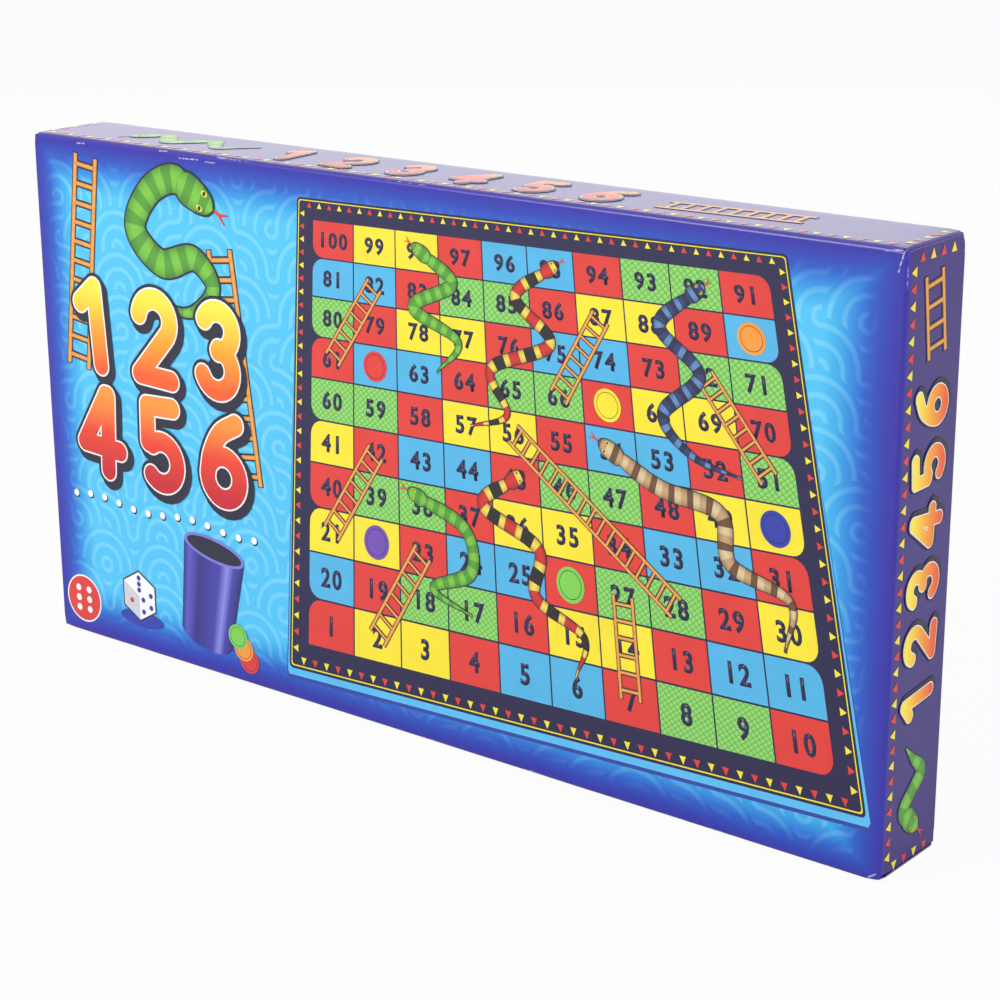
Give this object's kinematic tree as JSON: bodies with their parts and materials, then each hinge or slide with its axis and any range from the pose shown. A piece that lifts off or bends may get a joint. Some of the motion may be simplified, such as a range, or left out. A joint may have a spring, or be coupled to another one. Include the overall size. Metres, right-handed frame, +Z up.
{
  "type": "boxed board game",
  "caption": "Closed folding carton with tuck-in end flaps, standing on its long side, that holds a folding game board, a shaker cup, a die and counters.",
  "frame": {"origin": "centre of the bottom face of the closed carton as it stands on its long side", "axes": "+Z up as it stands, X along its length with +X to the right seen from the front, front face towards -Y"},
  "size_m": [0.4, 0.038, 0.212],
  "materials": {
    "front_print": "printed boxboard with a gloss laminate",
    "side_print": "printed boxboard with a gloss laminate",
    "bare_board": "uncoated grey-white board",
    "board_paper": "grey board wrapped in printed paper, satin",
    "spine_cloth": "dark book cloth tape",
    "cup_plastic": "moulded plastic, satin gloss",
    "die_plastic": "polished plastic with painted pips",
    "red_plastic": "moulded plastic, gloss",
    "orange_plastic": "moulded plastic, gloss",
    "yellow_plastic": "moulded plastic, gloss",
    "green_plastic": "moulded plastic, gloss",
    "blue_plastic": "moulded plastic, gloss",
    "purple_plastic": "moulded plastic, gloss"
  },
  "bodies": {
    "carton": {"carton_front_panel": "front_print", "carton_top_panel": "side_print", "carton_back_panel": "front_print", "carton_bottom_panel": "side_print", "carton_seam_strip": "bare_board"},
    "right_flap": {"right_end_flap": "side_print"},
    "right_tongue": {"right_tuck_tongue": "side_print"},
    "right_dust_top": {"right_dust_flap_top": "side_print"},
    "right_dust_bottom": {"right_dust_flap_bottom": "side_print"},
    "left_flap": {"left_end_flap": "side_print"},
    "left_tongue": {"left_tuck_tongue": "side_print"},
    "left_dust_top": {"left_dust_flap_top": "side_print"},
    "left_dust_bottom": {"left_dust_flap_bottom": "side_print"},
    "board_back": {"board_back_leaf": "board_paper", "board_spine_tape": "spine_cloth"},
    "board_front": {"board_front_leaf": "board_paper", "board_front_tape": "spine_cloth"},
    "cup": {"shaker_cup": "cup_plastic"},
    "red_counter": {"counter_red": "red_plastic"},
    "orange_counter": {"counter_orange": "orange_plastic"},
    "yellow_counter": {"counter_yellow": "yellow_plastic"},
    "green_counter": {"counter_green": "green_plastic"},
    "blue_counter": {"counter_blue": "blue_plastic"},
    "purple_counter": {"counter_purple": "purple_plastic"},
    "die": {"die": "die_plastic"}
  },
  "joints": [
    {"name": "right_flap_open", "type": "hinge", "parent": "carton", "child": "right_flap", "pos_m": [0.1996, -0.0186, 0.106], "axis": [0, 0, -1], "range_deg": [0, 120]},
    {"name": "right_tongue_unbend", "type": "hinge", "parent": "right_flap", "child": "right_tongue", "pos_m": [0.1996, 0.0173, 0.106], "axis": [0, 0, -1], "range_deg": [0, 52]},
    {"name": "right_dust_top_spring", "type": "hinge", "parent": "carton", "child": "right_dust_top", "pos_m": [0.1985, 0, 0.2116], "axis": [0, -1, 0], "range_deg": [0, 58]},
    {"name": "right_dust_bottom_spring", "type": "hinge", "parent": "carton", "child": "right_dust_bottom", "pos_m": [0.1985, 0, 0.0004], "axis": [0, 1, 0], "range_deg": [0, 58]},
    {"name": "left_flap_open", "type": "hinge", "parent": "carton", "child": "left_flap", "pos_m": [-0.1996, -0.0186, 0.106], "axis": [0, 0, 1], "range_deg": [0, 120]},
    {"name": "left_tongue_unbend", "type": "hinge", "parent": "left_flap", "child": "left_tongue", "pos_m": [-0.1996, 0.0173, 0.106], "axis": [0, 0, 1], "range_deg": [0, 52]},
    {"name": "left_dust_top_spring", "type": "hinge", "parent": "carton", "child": "left_dust_top", "pos_m": [-0.1985, 0, 0.2116], "axis": [0, 1, 0], "range_deg": [0, 58]},
    {"name": "left_dust_bottom_spring", "type": "hinge", "parent": "carton", "child": "left_dust_bottom", "pos_m": [-0.1985, 0, 0.0004], "axis": [0, -1, 0], "range_deg": [0, 58]},
    {"name": "board_slide", "type": "slide", "parent": "carton", "child": "board_back", "axis": [1, 0, 0], "range_m": [0, 0.015]},
    {"name": "board_leaf_open", "type": "hinge", "parent": "board_back", "child": "board_front", "pos_m": [0, 0.0144, 0.201], "axis": [-1, 0, 0], "range_deg": [0, 8]},
    {"name": "cup_lift", "type": "slide", "parent": "carton", "child": "cup", "axis": [0, 0, 1], "range_m": [0, 0.05]},
    {"name": "red_counter_lift", "type": "slide", "parent": "cup", "child": "red_counter", "axis": [0, 0, 1], "range_m": [0, 0.008]},
    {"name": "orange_counter_lift", "type": "slide", "parent": "red_counter", "child": "orange_counter", "axis": [0, 0, 1], "range_m": [0, 0.008]},
    {"name": "yellow_counter_lift", "type": "slide", "parent": "orange_counter", "child": "yellow_counter", "axis": [0, 0, 1], "range_m": [0, 0.008]},
    {"name": "green_counter_lift", "type": "slide", "parent": "yellow_counter", "child": "green_counter", "axis": [0, 0, 1], "range_m": [0, 0.008]},
    {"name": "blue_counter_lift", "type": "slide", "parent": "green_counter", "child": "blue_counter", "axis": [0, 0, 1], "range_m": [0, 0.008]},
    {"name": "purple_counter_lift", "type": "slide", "parent": "blue_counter", "child": "purple_counter", "axis": [0, 0, 1], "range_m": [0, 0.008]},
    {"name": "die_lift", "type": "slide", "parent": "purple_counter", "child": "die", "axis": [0, 0, 1], "range_m": [0, 0.06]}
  ],
  "couplings": [
    {"joint": "right_tongue_unbend", "follows": "right_flap_open", "ratio": 0.4},
    {"joint": "right_dust_top_spring", "follows": "right_flap_open", "ratio": 0.45},
    {"joint": "right_dust_bottom_spring", "follows": "right_flap_open", "ratio": 0.45},
    {"joint": "left_tongue_unbend", "follows": "left_flap_open", "ratio": 0.4},
    {"joint": "left_dust_top_spring", "follows": "left_flap_open", "ratio": 0.45},
    {"joint": "left_dust_bottom_spring", "follows": "left_flap_open", "ratio": 0.45}
  ]
}
